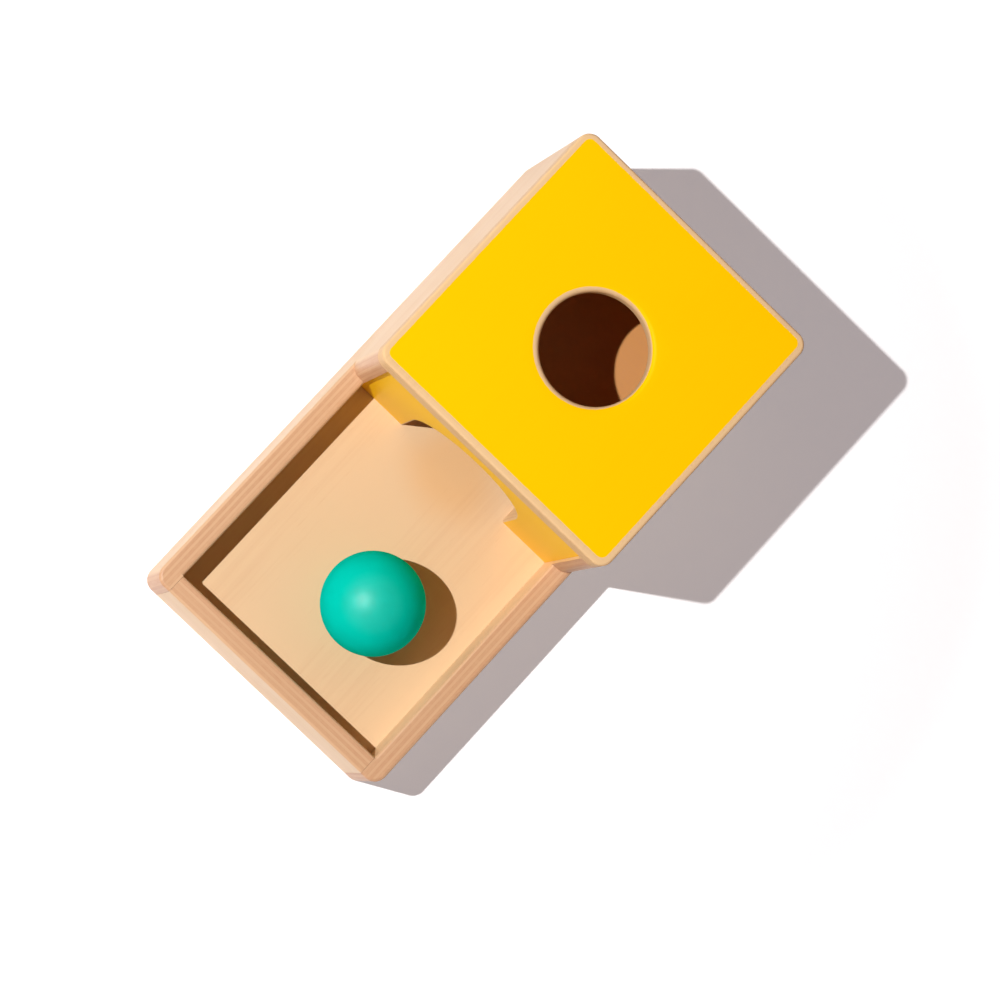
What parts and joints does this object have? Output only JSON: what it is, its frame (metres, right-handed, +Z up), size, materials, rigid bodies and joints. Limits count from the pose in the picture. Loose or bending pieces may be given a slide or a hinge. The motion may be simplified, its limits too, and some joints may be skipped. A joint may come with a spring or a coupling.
{
  "type": "object permanence box",
  "caption": "Wooden baby toy: a closed box with a round hole on top, an inner ramp and a doorway that lets a dropped ball roll into a low tray.",
  "frame": {"origin": "middle of the toy's footprint, on the table that it stands on", "axes": "+Y runs from the tray's end wall to the back of the box, the longest way; +Z is up, the shortest way; +X is to the right for someone who faces the tray's end wall"},
  "size_m": [0.13, 0.254, 0.104],
  "materials": {
    "birch_board": "clear oiled birch plywood, sanded edges",
    "birch_floor": "clear oiled birch plywood face",
    "beech_dowel": "plain turned beech",
    "painted_top": "matt yellow water-based paint on the face, bare rounded edges",
    "painted_front": "matt yellow water-based paint on plywood",
    "painted_ball": "satin teal lacquer on turned wood"
  },
  "bodies": {
    "toy_body": {"side_board_left": "birch_board", "side_board_right": "birch_board", "back_panel": "birch_board", "front_panel": "painted_front", "top_panel": "painted_top", "tray_floor": "birch_floor", "tray_end_wall": "birch_board", "ramp": "birch_floor", "ramp_runner_left": "birch_board", "ramp_runner_right": "birch_board", "top_dowel_front_left": "beech_dowel", "top_dowel_front_right": "beech_dowel", "top_dowel_back_left": "beech_dowel", "top_dowel_back_right": "beech_dowel", "back_dowel_low_left": "beech_dowel", "back_dowel_low_right": "beech_dowel", "back_dowel_high_left": "beech_dowel", "back_dowel_high_right": "beech_dowel", "wall_dowel_left": "beech_dowel", "wall_dowel_right": "beech_dowel"},
    "ball": {"ball": "painted_ball"}
  },
  "joints": [
    {"name": "ball_roll", "type": "slide", "parent": "toy_body", "child": "ball", "axis": [-0.1424, 0.9898, 0], "range_m": [-0.0236, 0.087]}
  ]
}
